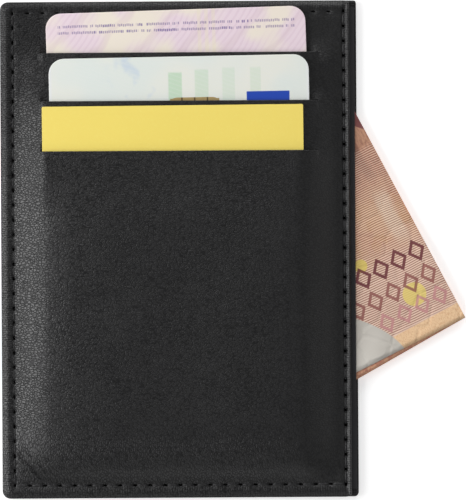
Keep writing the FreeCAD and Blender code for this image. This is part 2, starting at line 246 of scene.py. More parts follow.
def leather_shell(name, low, high, radii, xs, rows, height, under, flip, material):
    """Leather sheet whose edges roll over into a hem.
    low and high are the plan's corners; rows are (y, zone) with two rows at each slit;
    height(x, y, zone, edge distances) is the outer face, and under the level of the hem.
    flip builds it facing -Z."""
    zero, one = np.zeros(1), np.ones(1)
    closed = abs(height(zero, np.array([high[1]]), 0, (zero, one))[0] - under) / 2
    mouth = abs(height(np.array([high[0]]), zero, 3, (one, zero))[0] - under) / 2 * MOUTH_FOLD
    x0, y0, x1, y1 = low[0] + closed, low[1] + closed, high[0] - mouth, high[1] - closed
    radii = [max(r - closed, 0.1) for r in radii]
    xs = np.concatenate([[x0], xs[(xs > x0) & (xs < x1)], [x1]])
    rows = [(y1, rows[0][1])] + [r for r in rows if y0 < r[0] < y1] + [(y0, rows[-1][1])]
    points, index = [], []
    for k, (row_y, zone) in enumerate(rows):
        y = np.full(len(xs), row_y)
        edge = edge_distance(xs, y, (x0, y0), (x1, y1))
        px, py = round_corners(xs, y, x0, x1, y0, y1, radii)
        z = height(px, py, zone, edge)
        slit = k > 0 and rows[k - 1][0] == row_y
        line = []
        for c in range(len(xs)):
            if slit and abs(xs[c]) >= SLIT_HALF - 1e-6:
                line.append(index[-1][c])
            else:
                line.append(len(points))
                points.append((px[c], py[c], z[c]))
        index.append(line)
    faces = []
    for k in range(len(rows) - 1):
        if rows[k][0] == rows[k + 1][0]:
            continue
        a, b = index[k], index[k + 1]
        faces += [(a[c], b[c], b[c + 1], a[c + 1]) for c in range(len(xs) - 1)]
    keep = [k for k in range(len(rows)) if k == 0 or rows[k - 1][0] != rows[k][0]]
    last = len(xs) - 1
    loop = [(index[k][0], xs[0], rows[k][0]) for k in keep]
    loop += [(index[-1][c], xs[c], y0) for c in range(1, last + 1)]
    loop += [(index[k][last], xs[last], rows[k][0]) for k in reversed(keep[:-1])]
    loop += [(index[0][c], xs[c], y1) for c in range(last - 1, 0, -1)]
    faces += rolled_hem(points, loop, (x0, y0, x1, y1), under)
    if flip:
        faces = [f[::-1] for f in faces]
    obj = add_mesh(name, points, faces, material)
    shell = obj.modifiers.new("thickness", "SOLIDIFY")
    shell.thickness = LEATHER_T * MM
    shell.offset = -1
    return obj


def edge_distance(x, y, low, high):
    """Distances to the nearest closed edge and to the mouth."""
    return np.minimum.reduce([x - low[0], high[1] - y, y - low[1]]), high[0] - x


def rim(edge):
    """Relief of the stitched rims."""
    closed, mouth = (np.maximum(d, 0) for d in edge)
    sides = hermite(np.minimum(closed, RIM_AT[-1]), RIM_AT, RIM_UP)
    front = hermite(np.minimum(mouth, MOUTH_AT[-1]), MOUTH_AT, MOUTH_UP)
    share = closed / (closed + MOUTH_PULL * mouth + 1e-6)
    share = smooth((share - 0.35) / 0.3)
    return sides * (1 - share) + front * share


def rolled_hem(points, loop, box, under):
    """Half-round edge and the flat hem under it, added to points. Returns the faces."""
    x0, y0, x1, y1 = box
    top = np.array([points[i] for i, _, _ in loop])
    plan = np.array([(sx, sy) for _, sx, sy in loop])
    along = np.roll(top[:, :2], -1, 0) - np.roll(top[:, :2], 1, 0)
    normal = np.stack([along[:, 1], -along[:, 0]], 1)
    normal /= np.linalg.norm(normal, axis=1)[:, None]
    rings = []
    half = (top[:, 2] - under) / 2
    fold = 1 - (1 - MOUTH_FOLD) * np.clip(normal[:, 0], 0, 1)
    steps = 8
    for k in range(1, steps + 1):
        turn = math.pi * k / steps
        out = np.abs(half) * math.sin(turn) * fold
        plane = top[:, :2] + normal * out[:, None]
        rings.append(np.column_stack([plane, top[:, 2] - half * (1 - math.cos(turn))]))
    for width in (1.5, 3.5, HEM_W):
        sx = x0 + width + (plan[:, 0] - x0) * (x1 - x0 - 2 * width) / (x1 - x0)
        sy = y0 + width + (plan[:, 1] - y0) * (y1 - y0 - 2 * width) / (y1 - y0)
        rings.append(np.column_stack([sx, sy, np.full(len(sx), under)]))
    faces, previous, n = [], [i for i, _, _ in loop], len(loop)
    for ring in rings:
        start = len(points)
        points.extend(tuple(p) for p in ring)
        now = list(range(start, start + n))
        for i in range(n):
            j = (i + 1) % n
            faces.append((previous[i], now[i], now[j], previous[j]))
        previous = now
    return faces


def slab_between(name, plan, low, high, step, material, radii=None):
    """Closed strip or plate whose two faces are height functions; plan is x0, x1, y0, y1."""
    x0, x1, y0, y1 = plan
    gx, gy = np.meshgrid(spaced((x0, x1), step), spaced((y0, y1), step))
    if radii:
        gx, gy = round_corners(gx, gy, *plan, radii)
    top = np.column_stack([gx.ravel(), gy.ravel(), high(gx, gy).ravel()])
    bottom = np.column_stack([gx.ravel(), gy.ravel(), low(gx, gy).ravel()])
    top[:, 2] = np.maximum(top[:, 2], bottom[:, 2] + 0.05)
    n, m = gx.shape

    def at(r, c):
        return r * m + c

    faces = []
    for r in range(n - 1):
        for c in range(m - 1):
            quad = (at(r, c), at(r, c + 1), at(r + 1, c + 1), at(r + 1, c))
            faces += [quad, tuple(q + n * m for q in quad[::-1])]
    border = [at(0, c) for c in range(m)] + [at(r, m - 1) for r in range(1, n)]
    border += [at(n - 1, c) for c in range(m - 2, -1, -1)]
    border += [at(r, 0) for r in range(n - 2, 0, -1)]
    for a, b in zip(border, border[1:] + border[:1]):
        faces.append((a, a + n * m, b + n * m, b))
    obj = add_mesh(name, np.vstack([top, bottom]), faces, material, False)
    bevel = obj.modifiers.new("soft_edge", "BEVEL")
    bevel.width = 0.03 * MM
    bevel.limit_method = "ANGLE"
    return obj


# ---- the front's outer face ----
def reach(u, at, share):
    """Share of the swell at u, constant beyond the ends of the table."""
    return hermite(np.clip(u, at[0], at[-1]), at, share)


def shoulders(x, y, spread):
    """0 at the seams, 1 over the cards; spread 1 is the broad swell of the main face."""
    left = reach(x, LEFT_AT, LEFT_BY_SLITS)
    left = left + (reach(x, LEFT_AT, LEFT_BELOW) - left) * spread
    right = reach(x, RIGHT_AT, RIGHT_BY_SLITS)
    right = right + (reach(x, RIGHT_AT, RIGHT_BELOW) - right) * spread
    slack = 1 - 0.45 * (1 - smooth((corner_line(x, y) + 2.6) / 3.0))
    return left * right * reach(y, BOTTOM_AT, BOTTOM_UP) * slack


def corner_line(x, y):
    """Distance inwards from the slanting line across the lower left corner."""
    return x * CORNER_X + y * CORNER_Y + CORNER_OFF


def corner_run(x, y):
    """Distance along that line, from its left end."""
    return x * CORNER_Y - y * CORNER_X - CORNER_START


def margin_rise(y):
    """Height of the front beside the slits, without steps."""
    steps = zip(SLITS, np.diff(STEP_RISE))
    return sum(step * smooth((slit + 3.0 - y) / 6.0) for slit, step in steps)


def front_height(x, y, zone, edge):
    """zone 0 is above the first slit, 3 is the main face."""
    lip = SLITS[zone - 1] if zone else math.inf
    foot = SLITS[zone] if zone < 3 else -math.inf
    into_main = smooth((SLITS[2] - 1.0 - y) / 14.0) if zone == 3 else np.zeros_like(y)
    main = into_main * (hermite(y, MAIN_AT, MAIN_UP) - STEP_RISE[3])
    strip = (STEP_RISE[zone] + main) * shoulders(x, y, into_main)
    side = (margin_rise(y) + main) * shoulders(x, y, into_main)
    at_lip = np.abs(y - lip) < np.abs(y - foot)
    width = np.where(at_lip, LIP_MEETS, np.where(x > 0, RIGHT_MEETS, LEFT_MEETS))
    inside = smooth((SLIT_HALF - np.abs(x)) / width)
    z = RIM_TOP + strip * inside + side * (1 - inside)
    z = z + rim(edge) + dimples(x, y, SEAM_FRONT_X)
    if zone == 0:
        return z - inside * np.maximum(z - RIM_TOP - UNDER_CARD, 0)
    if zone < 3:
        return z
    loose = into_main * smooth((edge[0] - 2.5) / 6.0) * smooth((edge[1] - 1.5) / 5.0)
    folds = 0.05 * relief(x, y, 6.0, 1) + 0.03 * relief(x, y * 1.6, 2.6, 2)
    return z + loose * folds - creases(x, y)


def creases(x, y):
    """Pair of creases across the lower left corner."""
    across, along = corner_line(x, y), corner_run(x, y)
    run = smooth(along / 1.2) * smooth((8.2 - along) / 2.5)
    fold = 0.26 * np.exp(-((across / 0.5) ** 2)) + 0.16 * np.exp(-(((across - 1.5) / 0.4) ** 2))
    return fold * run


def inner_face(x, y):
    """Inner face of the front leather over the card pockets."""
    x, y = np.broadcast_arrays(np.asarray(x, float), np.asarray(y, float))
    far = np.full(x.shape, 9.0)
    z = np.zeros(x.shape)
    zones = sum((y <= slit).astype(int) for slit in SLITS)
    for zone in range(4):
        here = zones == zone
        z[here] = front_height(x[here], y[here], zone, (far[here], far[here]))
    return z - LEATHER_T - 0.1


def panel_lines(lo, hi):
    """Column lines of a leather panel, closer together near its seams."""
    stops = (lo, -33.0, -SLIT_HALF, -28.5, -28.0, 28.0, 28.5, SLIT_HALF, 32.2, hi)
    fine = spaced(stops[:2], 0.22)
    middle = spaced(stops[1:-1], 0.42)
    return np.concatenate([fine, middle[1:], spaced(stops[-2:], 0.18)[1:]])


def front_rows(y_top, y_bottom):
    """Row lines from the top down, doubled at each slit."""
    stops = (y_top, *SLITS, y_bottom)
    rows = []
    for zone in range(4):
        near = [stops[zone]]
        if zone:
            near += [stops[zone] - 0.15, stops[zone] - 0.5]
        if zone < 3:
            near += [stops[zone + 1] + 0.5, stops[zone + 1] + 0.15]
        near.append(stops[zone + 1])
        rows += [(y, zone) for y in spaced(near, 0.33)]
    return rows


# ---- shader building ----
class Field:
    """A value that varies over a surface, made by shader nodes."""

    def __init__(self, tree, socket):
        self.tree, self.socket = tree, socket

    def node(self, kind, inputs, out=0, **settings):
        made = self.tree.nodes.new(kind)
        for key, value in settings.items():
            setattr(made, key, value)
        for key, value in inputs.items():
            if isinstance(value, Field):
                self.tree.links.new(value.socket, made.inputs[key])
            else:
                made.inputs[key].default_value = value
        return Field(self.tree, made.outputs[out])

    def op(self, operation, *others):
        values = dict(enumerate((self, *others)))
        return self.node("ShaderNodeMath", values, operation=operation)

    def __add__(self, other):
        return self.op("ADD", other)

    def __sub__(self, other):
        return self.op("SUBTRACT", other)

    def __mul__(self, other):
        return self.op("MULTIPLY", other)

    def ramp(self, low, high):
        """0 below low, 1 above high, smooth between."""
        made = {"Value": self, "From Min": low, "From Max": high}
        return self.node("ShaderNodeMapRange", made, interpolation_type="SMOOTHSTEP")

    def band(self, low, high, soft):
        """1 between low and high."""
        return self.ramp(low - soft, low + soft) - self.ramp(high - soft, high + soft)

    def ripple(self, period):
        """0 to 1 wave."""
        return (self * (2 * math.pi / period)).op("SINE") * 0.5 + 0.5


def linear(r, g, b):
    """Linear colour from 0-255 display values."""
    parts = [c / 255 for c in (r, g, b)]
    parts = [c / 12.92 if c <= 0.04045 else ((c + 0.055) / 1.055) ** 2.4 for c in parts]
    return (*parts, 1.0)


class Surface:
    """A Principled material under construction; x, y, z are in millimetres."""

    def __init__(self, name, roughness, **constants):
        self.made = bpy.data.materials.new(name)
        self.made.use_nodes = True
        self.tree = self.made.node_tree
        self.shader = self.tree.nodes["Principled BSDF"]
        self.shader.inputs["Roughness"].default_value = roughness
        for key, value in constants.items():
            self.shader.inputs[key.replace("_", " ")].default_value = value
        coords = self.tree.nodes.new("ShaderNodeTexCoord")
        place = Field(self.tree, coords.outputs["Object"])
        scaled = {0: place, "Scale": 1 / MM}
        self.at = place.node("ShaderNodeVectorMath", scaled, operation="SCALE")
        split = self.tree.nodes.new("ShaderNodeSeparateXYZ")
        self.tree.links.new(self.at.socket, split.inputs[0])
        self.x, self.y, self.z = (Field(self.tree, s) for s in split.outputs)

    def stretched(self, sx, sy, sz, at=None):
        values = {0: at or self.at, 1: (sx, sy, sz)}
        return self.at.node("ShaderNodeVectorMath", values, operation="MULTIPLY")

    def noise(self, cell, detail=2.0, at=None, out=0):
        """Soft noise, 0 to 1, with blobs about one cell wide."""
        values = {"Vector": at or self.at, "Scale": 1 / cell, "Detail": detail}
        values["Roughness"] = 0.55
        return self.at.node("ShaderNodeTexNoise", values, out=out)

    def cells(self, cell, at):
        """Distance from the walls between cells about one cell wide."""
        values = {"Vector": at, "Scale": 1 / cell}
        return self.at.node("ShaderNodeTexVoronoi", values, feature="DISTANCE_TO_EDGE")

    def jittered(self, cell, amount):
        """Coordinates pushed about by noise."""
        push = self.noise(cell, out=1)
        values = {0: push, "Scale": amount}
        push = self.at.node("ShaderNodeVectorMath", values, operation="SCALE")
        return self.at.node("ShaderNodeVectorMath", {0: self.at, 1: push}, operation="ADD")

    def mix(self, a, b, amount):
        """a where amount is 0, b where it is 1. a may be a Field."""
        node = self.tree.nodes.new("ShaderNodeMix")
        node.data_type = "RGBA"
        self.tree.links.new(amount.socket, node.inputs["Factor"])
        for key, value in ((6, a), (7, b)):
            if isinstance(value, Field):
                self.tree.links.new(value.socket, node.inputs[key])
            else:
                node.inputs[key].default_value = value
        return Field(self.tree, node.outputs[2])

    def colour(self, field):
        self.tree.links.new(field.socket, self.shader.inputs["Base Color"])

    def sheen_of(self, field):
        """How strongly the surface mirrors."""
        self.tree.links.new(field.socket, self.shader.inputs["Specular IOR Level"])

    def roughness(self, field):
        self.tree.links.new(field.socket, self.shader.inputs["Roughness"])

    def bump(self, height, depth):
        """depth in millimetres."""
        values = {"Strength": 1.0, "Distance": depth * MM, "Height": height}
        normal = self.at.node("ShaderNodeBump", values)
        self.tree.links.new(normal.socket, self.shader.inputs["Normal"])


def highest(first, *others):
    """Largest of several fields."""
    for field in others:
        first = first.op("MAXIMUM", field)
    return first


def rolled_rims(s):
    """1 on the rolled edges outside the seams: the two long sides, then the two short ones."""
    left = (s.x * -1.0).ramp(0.3 - SEAM_LEFT_X, 0.7 - SEAM_LEFT_X)
    right = s.x.ramp(SEAM_FRONT_X, SEAM_FRONT_X + 0.3)
    bottom = (s.y * -1.0).ramp(0.2 - SEAM_BOTTOM_Y, 0.6 - SEAM_BOTTOM_Y)
    top = s.y.ramp(SEAM_TOP_Y + 0.2, SEAM_TOP_Y + 0.6)
    return highest(left, right), highest(bottom, top)


def crease_shade(s):
    """1 along the two creases across the lower left corner of the front, where shade is painted into
    the leather's colour.
    """
    across, along = corner_line(s.x, s.y), corner_run(s.x, s.y)
    fold = highest(across.band(-0.5, 0.2, 0.4), across.band(1.3, 1.7, 0.3) * 0.7)
    return fold * along.band(0.3, 7.5, 0.8) * s.z.ramp(RIM_TOP, RIM_TOP + 0.2)


def needle_hole_shade(s):
    """1 deep inside the needle holes of the front, where shade is painted nearly black into the
    leather's colour.
    """
    near, beyond, soft = 0.3, 0.6, 0.1
    lines = [s.x.band(x - near, x + near, soft) for x in (SEAM_LEFT_X, SEAM_FRONT_X)]
    lines += [s.y.band(y - near, y + near, soft) for y in (SEAM_BOTTOM_Y, SEAM_TOP_Y)]
    within = s.x.band(SEAM_LEFT_X - beyond, SEAM_FRONT_X + beyond, soft)
    within = within * s.y.band(SEAM_BOTTOM_Y - beyond, SEAM_TOP_Y + beyond, soft)
    return highest(*lines) * within * s.z.band(1.6, 2.34, 0.08)


def leather(name, dark, light, depth):
    """Pebbled leather, its grain drawn out across the seams and pleated over the rims; shade is
    painted into its colour along the corner creases and in the needle holes.
    """
    s = Surface(name, 0.5)
    bent = s.jittered(0.8, 0.32)
    wide = s.cells(0.5, s.stretched(0.56, 1.2, 1.0, bent))
    tall = s.cells(0.5, s.stretched(1.2, 0.56, 1.0, bent))
    low = (s.y * -1.0).ramp(34.0, 43.0)
    pebbles = (wide + (tall - wide) * low).ramp(0.0, 0.2)
    wrinkles = s.noise(1.3, 3.0, s.stretched(0.5, 1.5, 1.0))
    pores = s.noise(0.2, 2.0)
    broad = s.noise(9.0, 3.0)
    wander = s.noise(1.1, 2.0) * 0.25
    long_rims, short_rims = rolled_rims(s)
    rims = highest(long_rims, short_rims)
    pleats = (s.y + wander).ripple(0.46) * long_rims
    pleats = pleats + (s.x + wander).ripple(0.52) * short_rims * 0.7
    worn = highest((s.x * -1.0).ramp(8.0, 30.0), (s.y * -1.0).ramp(40.0, 48.0) * 0.5)
    worn = worn * (rims * -0.7 + 1.0)
    fold, hole_shade = crease_shade(s), needle_hole_shade(s)
    margins = highest((s.x * -1.0).ramp(25.0, 30.0), s.x.ramp(33.6, 34.2))
    calm = margins * s.y.ramp(5.0, 42.0)
    shown = s.x.ramp(30.0, 12.0)
    grain = pebbles * (worn * 0.3 + shown * 0.25 + 0.45)
    s.bump(grain * 0.9 + wrinkles * 0.5 + pores * 0.15 + pleats * 0.5, depth)
    # Painted shade: the leather's colour is darkened along the two creases across the lower left
    # corner.
    tone = s.mix(dark, light, (pebbles * 0.5 + wrinkles * 0.5 - fold * 0.4).ramp(0.1, 1.1))
    tone = s.mix(tone, light, broad.ramp(0.55, 0.85) * 0.25)
    # Painted shade: deep in the needle holes the leather's colour goes nearly black.
    s.colour(s.mix(tone, linear(4, 4, 4), hole_shade))
    s.roughness((broad - 0.5) * 0.2 + (pores - 0.5) * 0.1 + 0.42)
    sheen = (pebbles - 0.6) * (worn * 0.13 + shown * 0.13 + 0.07) + (pleats - rims * 0.5) * 0.26
    sheen = sheen - fold * 0.2 - hole_shade * 0.45 + 0.48
    s.sheen_of(sheen * (calm * -0.36 + 1.0))
    return s.made


def weave(name, dark, light, thread):
    """Plain weave with threads of the given width."""
    s = Surface(name, 0.85, Sheen_Weight=0.15)
    over = s.x.ripple(thread * 2) * s.y.ripple(thread * 2)
    under = (s.x + thread).ripple(thread * 2) * (s.y + thread).ripple(thread * 2)
    fuzz = s.noise(thread * 0.6, 2.0)
    height = over + under + fuzz * 0.3
    s.bump(height, 0.06)
    s.colour(s.mix(dark, light, (height * 0.7).ramp(0.0, 0.9)))
    s.roughness(fuzz * 0.2 + 0.75)
    return s.made


def thread_finish():
    s = Surface("waxed_thread", 0.5, Specular_IOR_Level=0.45)
    fibres = s.noise(0.06, 2.0)
    s.bump(fibres, 0.02)
    s.colour(s.mix(linear(18, 18, 19), linear(34, 34, 36), fibres))
    s.roughness(fibres * 0.3 + 0.4)
    return s.made


def board():
    s = Surface("stiffener_board", 0.9)
    fibres = s.noise(0.8, 4.0, s.stretched(1.0, 0.4, 1.0))
    s.bump(fibres, 0.02)
    s.colour(s.mix(linear(138, 118, 92), linear(170, 150, 120), fibres))
    s.roughness(fibres * 0.15 + 0.8)
    return s.made


def card_body(s, printed):
    """Laminated card: printed faces, a paler edge and a fine satin surface."""
    s.colour(printed)
    grain = s.noise(0.25, 2.0)
    s.bump(grain, 0.004)
    s.roughness(grain * 0.12 + 0.3)
    return s.made


def pink_card():
    s = Surface("pink_card", 0.35)
    slant = s.y * 0.57 - s.x * 0.82
    patches = s.noise(9.0, 1.0).ramp(0.38, 0.62)
    base = s.mix(linear(244, 234, 220), linear(239, 220, 230), patches)
    lines = (slant + s.noise(9.0, 1.0) * 2.0).ripple(1.1).ramp(0.45, 0.95)
    base = s.mix(base, linear(219, 192, 208), lines * patches * 0.3)
    crossing = (s.x * 0.7 - s.y * 0.7 + s.noise(6.0, 1.0) * 3.0).ripple(6.5).ramp(0.8, 1.0)
    base = s.mix(base, linear(222, 200, 206), crossing * 0.3)
    upright = s.x.band(4.2, 8.4, 0.4) * s.x.ripple(1.5).ramp(0.4, 0.6)
    base = s.mix(base, linear(240, 230, 200), upright * 0.35)
    for row_y in (-2.8, -4.1):
        mark, heavy = microprint(s, row_y)
        base = s.mix(base, linear(132, 110, 160), mark * 0.7)
        base = s.mix(base, linear(88, 66, 150), mark * heavy * 0.6)
    return card_body(s, base)


def dice(s, step, seed):
    """Random value for each step of x."""
    lot = (s.x * (1 / step)).op("FLOOR") + seed
    return s.at.node("ShaderNodeTexWhiteNoise", {"W": lot}, noise_dimensions="1D")


def microprint(s, row_y):
    """Row of tiny unreadable marks, and where they are heavier."""
    pitch, word, group, half = 0.38, 1.9, 5.7, 0.26
    lot = dice(s, pitch, row_y * 7.0)
    gap = (s.x * (1 / group) + row_y).op("FRACT").ramp(0.08, 0.10)
    stroke = (s.x * (1 / pitch)).op("FRACT").band(0.2, 0.85, 0.08)
    tall = (s.y - row_y + (lot - 0.5) * 0.14).band(-half, half, 0.06)
    mark = stroke * tall * lot.ramp(0.06, 0.12) * gap * s.x.band(-24.5, 24.8, 0.05)
    return mark, dice(s, word, row_y * 3.0).ramp(0.86, 0.88)


# Bars of the pale card: left and right sides, top, strength.
BARS = (
    (-2.2, 0.6, -3.3, 0.75),
    (3.3, 6.1, -2.8, 0.45),
    (9.0, 11.6, -2.5, 0.3),
    (14.8, 17.0, -2.5, 0.3),
)


def pale_card():
    s = Surface("pale_card", 0.32)
    cloudy = s.noise(12.0, 1.0).ramp(0.35, 0.7)
    base = s.mix(linear(230, 237, 232), linear(238, 239, 230), cloudy)
    blotch = s.noise(4.5, 2.0).ramp(0.5, 0.66) * s.x.band(-14.0, -3.0, 3.0)
    base = s.mix(base, linear(198, 214, 232), blotch * 0.6)
    for x0, x1, top, strength in BARS:
        bar = s.x.band(x0, x1, 0.15) * s.y.band(-70.0, top, 0.3)
        base = s.mix(base, linear(190, 221, 190), bar * strength)
    lines = (s.y + s.x * 0.35).ripple(0.9).ramp(0.5, 0.9)
    base = s.mix(base, linear(236, 238, 236), lines * 0.15)
    block = s.x.band(14.0, 22.9, 0.08) * s.y.band(-21.0, -7.5, 0.08)
    base = s.mix(base, linear(36, 74, 182), block)
    edge = s.x.op("ABSOLUTE").ramp(26.3, 26.6)
    base = s.mix(base, linear(236, 238, 238), edge * 0.8)
    return card_body(s, base)


def yellow_card():
    s = Surface("yellow_paper_card", 0.6)
    fibres = s.noise(0.5, 4.0)
    s.bump(fibres, 0.01)
    tone = s.mix(linear(252, 229, 113), linear(247, 223, 109), s.noise(18.0, 2.0))
    s.colour(s.mix(tone, linear(253, 235, 130), fibres.ramp(0.5, 0.8) * 0.4))
    s.roughness(fibres * 0.2 + 0.5)
    return s.made


def gold_plate():
    s = Surface("chip_gold", 0.35, Metallic=0.35)
    wear = s.noise(1.2, 3.0)
    tone = s.mix(linear(206, 180, 124), linear(180, 156, 106), wear)
    gap = (s.x + 0.66).ripple(2.65).ramp(0.94, 0.99)
    s.colour(s.mix(tone, linear(84, 66, 40), gap * 0.85))
    s.bump(s.noise(0.2, 2.0), 0.004)
    s.roughness(wear * 0.2 + 0.25)
    return s.made


# Rows of lozenges on the note: height, half size, colour, strength.
ROWS = (
    (17.15, 2.5, linear(112, 46, 54), 0.94),
    (11.8, 2.4, linear(150, 88, 82), 0.88),
    (6.7, 2.3, linear(204, 142, 142), 0.85),
)
LOZENGE_PITCH = 4.15


def lozenges(s, row_y, half):
    """Row of open lozenges along local X."""
    start = 2.3 + LOZENGE_PITCH / 2
    across = ((s.x + start) * (1 / LOZENGE_PITCH)).op("FRACT") - 0.5
    size = (across * LOZENGE_PITCH * 1.3).op("ABSOLUTE") + (s.y - row_y).op("ABSOLUTE")
    return size.band(half * 0.6, half, 0.12)


def round_spot(s, x, y, radius):
    dx, dy = s.x - x, s.y - y
    return (dx * dx + dy * dy).op("SQRT").ramp(radius, radius - 0.25)


def note_tint(s, soft):
    """The note's ground colour, mottled, darker and hatched towards its far end."""
    base = s.mix(linear(234, 194, 152), linear(212, 158, 128), soft.ramp(0.35, 0.65))
    base = s.mix(base, linear(192, 140, 116), s.y.ramp(27.0, 38.0) * 0.8)
    mottled = s.noise(2.4, 2.0).ramp(0.50, 0.62) * s.y.ramp(38.0, 24.0)
    base = s.mix(base, linear(210, 158, 92), mottled * 0.6)
    base = s.mix(base, linear(242, 213, 198), s.y.ramp(24.0, 15.0) * 0.8)
    streak = (s.x + s.noise(4.0, 1.0) * 1.5).band(-4.2, -1.2, 0.7) * s.y.band(20.5, 31.5, 2.0)
    base = s.mix(base, linear(248, 232, 208), streak * 0.75)
    hatch = s.noise(0.45, 3.0, s.stretched(1.4, 0.35, 1.0)).ramp(0.42, 0.66)
    base = s.mix(base, linear(150, 100, 84), hatch * s.y.ramp(29.0, 37.0) * 0.65)
    shade = (s.x + s.y * 0.1 + s.noise(3.0, 1.0)).band(-0.4, 1.6, 0.7) * s.y.ramp(33.0, 37.0)
    return s.mix(base, linear(122, 84, 72), shade * 0.7)


def note_print(s, base):
    """Fine dark and pale lines, two spots and the rows of lozenges."""
    pitch = 0.45
    slant = s.y * 0.995 + s.x * 0.06 + s.noise(6.0, 1.0) * 0.5
    printed = s.y.band(3.6, 41.0, 0.8)
    dark = slant.ripple(pitch).ramp(0.35, 0.8) * printed
    base = s.mix(base, linear(154, 86, 70), dark * 0.8)
    pale = (slant + 0.22).ripple(pitch).ramp(0.45, 0.85) * printed
    base = s.mix(base, linear(244, 220, 196), pale * 0.65)
    base = s.mix(base, linear(240, 216, 120), round_spot(s, -6.9, 9.3, 2.6) * 0.85)
    base = s.mix(base, linear(226, 202, 104), round_spot(s, -14.0, 19.7, 1.5) * 0.9)
    for row_y, half, colour, strength in ROWS:
        base = s.mix(base, colour, lozenges(s, row_y, half) * strength)
    return base


def note_fields(s, base, crumple):
    """Plain band, blank corner with its crumples' shade painted in, dark arc, and the face of the half
    below.
    """
    weave = s.noise(0.3, 2.0, s.stretched(1.6, 0.6, 1.0)).ramp(0.35, 0.7)
    band = s.mix(linear(250, 214, 172), linear(232, 186, 142), weave)
    base = s.mix(base, band, s.y.ramp(3.6, 3.4))
    bend = s.y * -0.16 + (s.y * s.y) * -0.040 + -14.0
    # Painted shade: the blank corner's colour follows the crumple noise that bumps the paper, darker
    # and lighter over its undulations.
    crumple_shaded_blank = s.mix(linear(234, 229, 220), linear(196, 190, 181), crumple.ramp(0.3, 0.7))
    base = s.mix(base, crumple_shaded_blank, (s.x - bend).ramp(0.15, -0.15))
    arc = s.y + s.x * 1.15 + s.noise(2.0, 2.0) * 0.8
    base = s.mix(base, linear(122, 66, 68), arc.ramp(44.6, 44.9) * 0.92)
    fibres = s.noise(0.5, 3.0).ramp(0.35, 0.65)
    under = s.mix(linear(204, 138, 116), linear(226, 176, 140), fibres)
    return s.mix(base, under, s.z.ramp(1.46, 1.43))


def note_paper():
    """Generic printed note, softly creased."""
    s = Surface("printed_note", 0.75)
    soft, crumple = s.noise(6.0, 3.0), s.noise(14.0, 1.0)
    s.colour(note_fields(s, note_print(s, note_tint(s, soft)), crumple))
    crease = s.cells(5.0, s.jittered(3.0, 1.5)).ramp(0.0, 0.12)
    s.bump(soft * 0.6 + crumple * 0.8 + crease * 0.5 + s.noise(0.3, 2.0) * 0.1, 0.14)
    return s.made


BLACK = leather("black_leather", linear(18, 18, 19), linear(30, 30, 31), 0.05)
LINING = weave("lining_weave", linear(32, 32, 34), linear(58, 58, 61), 0.14)
TAPE = weave("tape_weave", linear(22, 22, 24), linear(40, 40, 42), 0.22)
THREAD = thread_finish()


# ---- leather panels ----
def mm_box(node):
    low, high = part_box(node)
    return [c / MM for c in low], [c / MM for c in high]


def front_panel():
    low, high = mm_box("front_panel")
    radii = (R_LEFT, R_LOWER_RIGHT, R_LOWER_RIGHT, R_LEFT)
    xs = panel_lines(low[0], high[0])
    rows = front_rows(high[1], low[1])
    shape = (low, high, radii, xs, rows, front_height, HEM_UNDER)
    obj = leather_shell("front_leather", *shape, False, BLACK)
    finish_piece(obj, "holder", "front_panel")


def back_height(x, y, zone, edge):
    """Outer face of the back, which rests on the table."""
    near = np.clip(np.minimum(*edge), 0, RIM_AT[-1])
    z = BACK_CREST - hermite(near, RIM_AT, RIM_UP) - dimples(x, y, SEAM_BACK_X)
    return np.maximum(z + 0.03 * relief(x, y, 7.0, 5), 0.0)


def back_panel():
    low, high = mm_box("back_panel")
    radii = (R_LEFT, R_LOWER_RIGHT, R_BACK_UPPER_RIGHT, R_LEFT)
    xs = panel_lines(low[0], high[0])
    rows = [(y, 0) for y in spaced((high[1], low[1]), 0.33)]
    shape = (low, high, radii, xs, rows, back_height, high[2])
    obj = leather_shell("back_leather", *shape, True, BLACK)
    finish_piece(obj, "holder", "back_panel")


front_panel()
back_panel()


# ---- cards' planes: each passes just over its slit's lip and sinks to its pocket's floor ----
def slope(y0, z0, y1, z1):
    """Height along Y of a plane through two lines."""
    return lambda x, y: z0 + (y - y0) * (z1 - z0) / (y1 - y0) + 0 * x


def level(z):
    """Nearly level face of a soft layer."""
    return lambda x, y: np.full(np.shape(x), float(z)) + 0.006 * relief(x, y, 5.0, 8)


def over(plane, by):
    return lambda x, y: plane(x, y) + by


def tucked(plane):
    """The plane, dipping where the front leather comes lower."""
    return lambda x, y: np.minimum(plane(x, y), inner_face(x, y))


UNDER_1, UNDER_2, UNDER_3 = (
    slope(*floor, slit, RIM_TOP + rise + CLEAR)
    for floor, slit, rise in zip(POCKET_FLOORS, SLITS, STEP_RISE)
)
LEAF_2 = over(UNDER_1, CARD_T + CLEAR)
LEAF_3 = over(UNDER_2, CARD_T + CLEAR)
LEAF_4 = over(UNDER_3, PAPER_T + CLEAR)


# ---- inner layers ----
def plan_of(node):
    low, high = mm_box(node)
    return (low[0], high[0], low[1], high[1]), low[2], high[2]


def cloth(node, lower, upper):
    """Lining sheet glued into the holder."""
    plan, _, _ = plan_of(node)
    obj = slab_between(node + "_cloth", plan, lower, upper, 1.5, LINING)
    finish_piece(obj, "holder", node)
    size = ((plan[1] - plan[0]) * MM, (plan[3] - plan[2]) * MM)


def lining_sheets():
    for node in ("note_pocket_back_lining", "note_pocket_front_lining", "pocket_leaf_1"):
        _, z0, z1 = plan_of(node)
        cloth(node, level(z0), level(z1))
    for number, plane in ((2, LEAF_2), (3, LEAF_3), (4, LEAF_4)):
        upper = tucked(over(plane, LEAF))
        cloth("pocket_leaf_%d" % number, over(upper, -LEAF), upper)


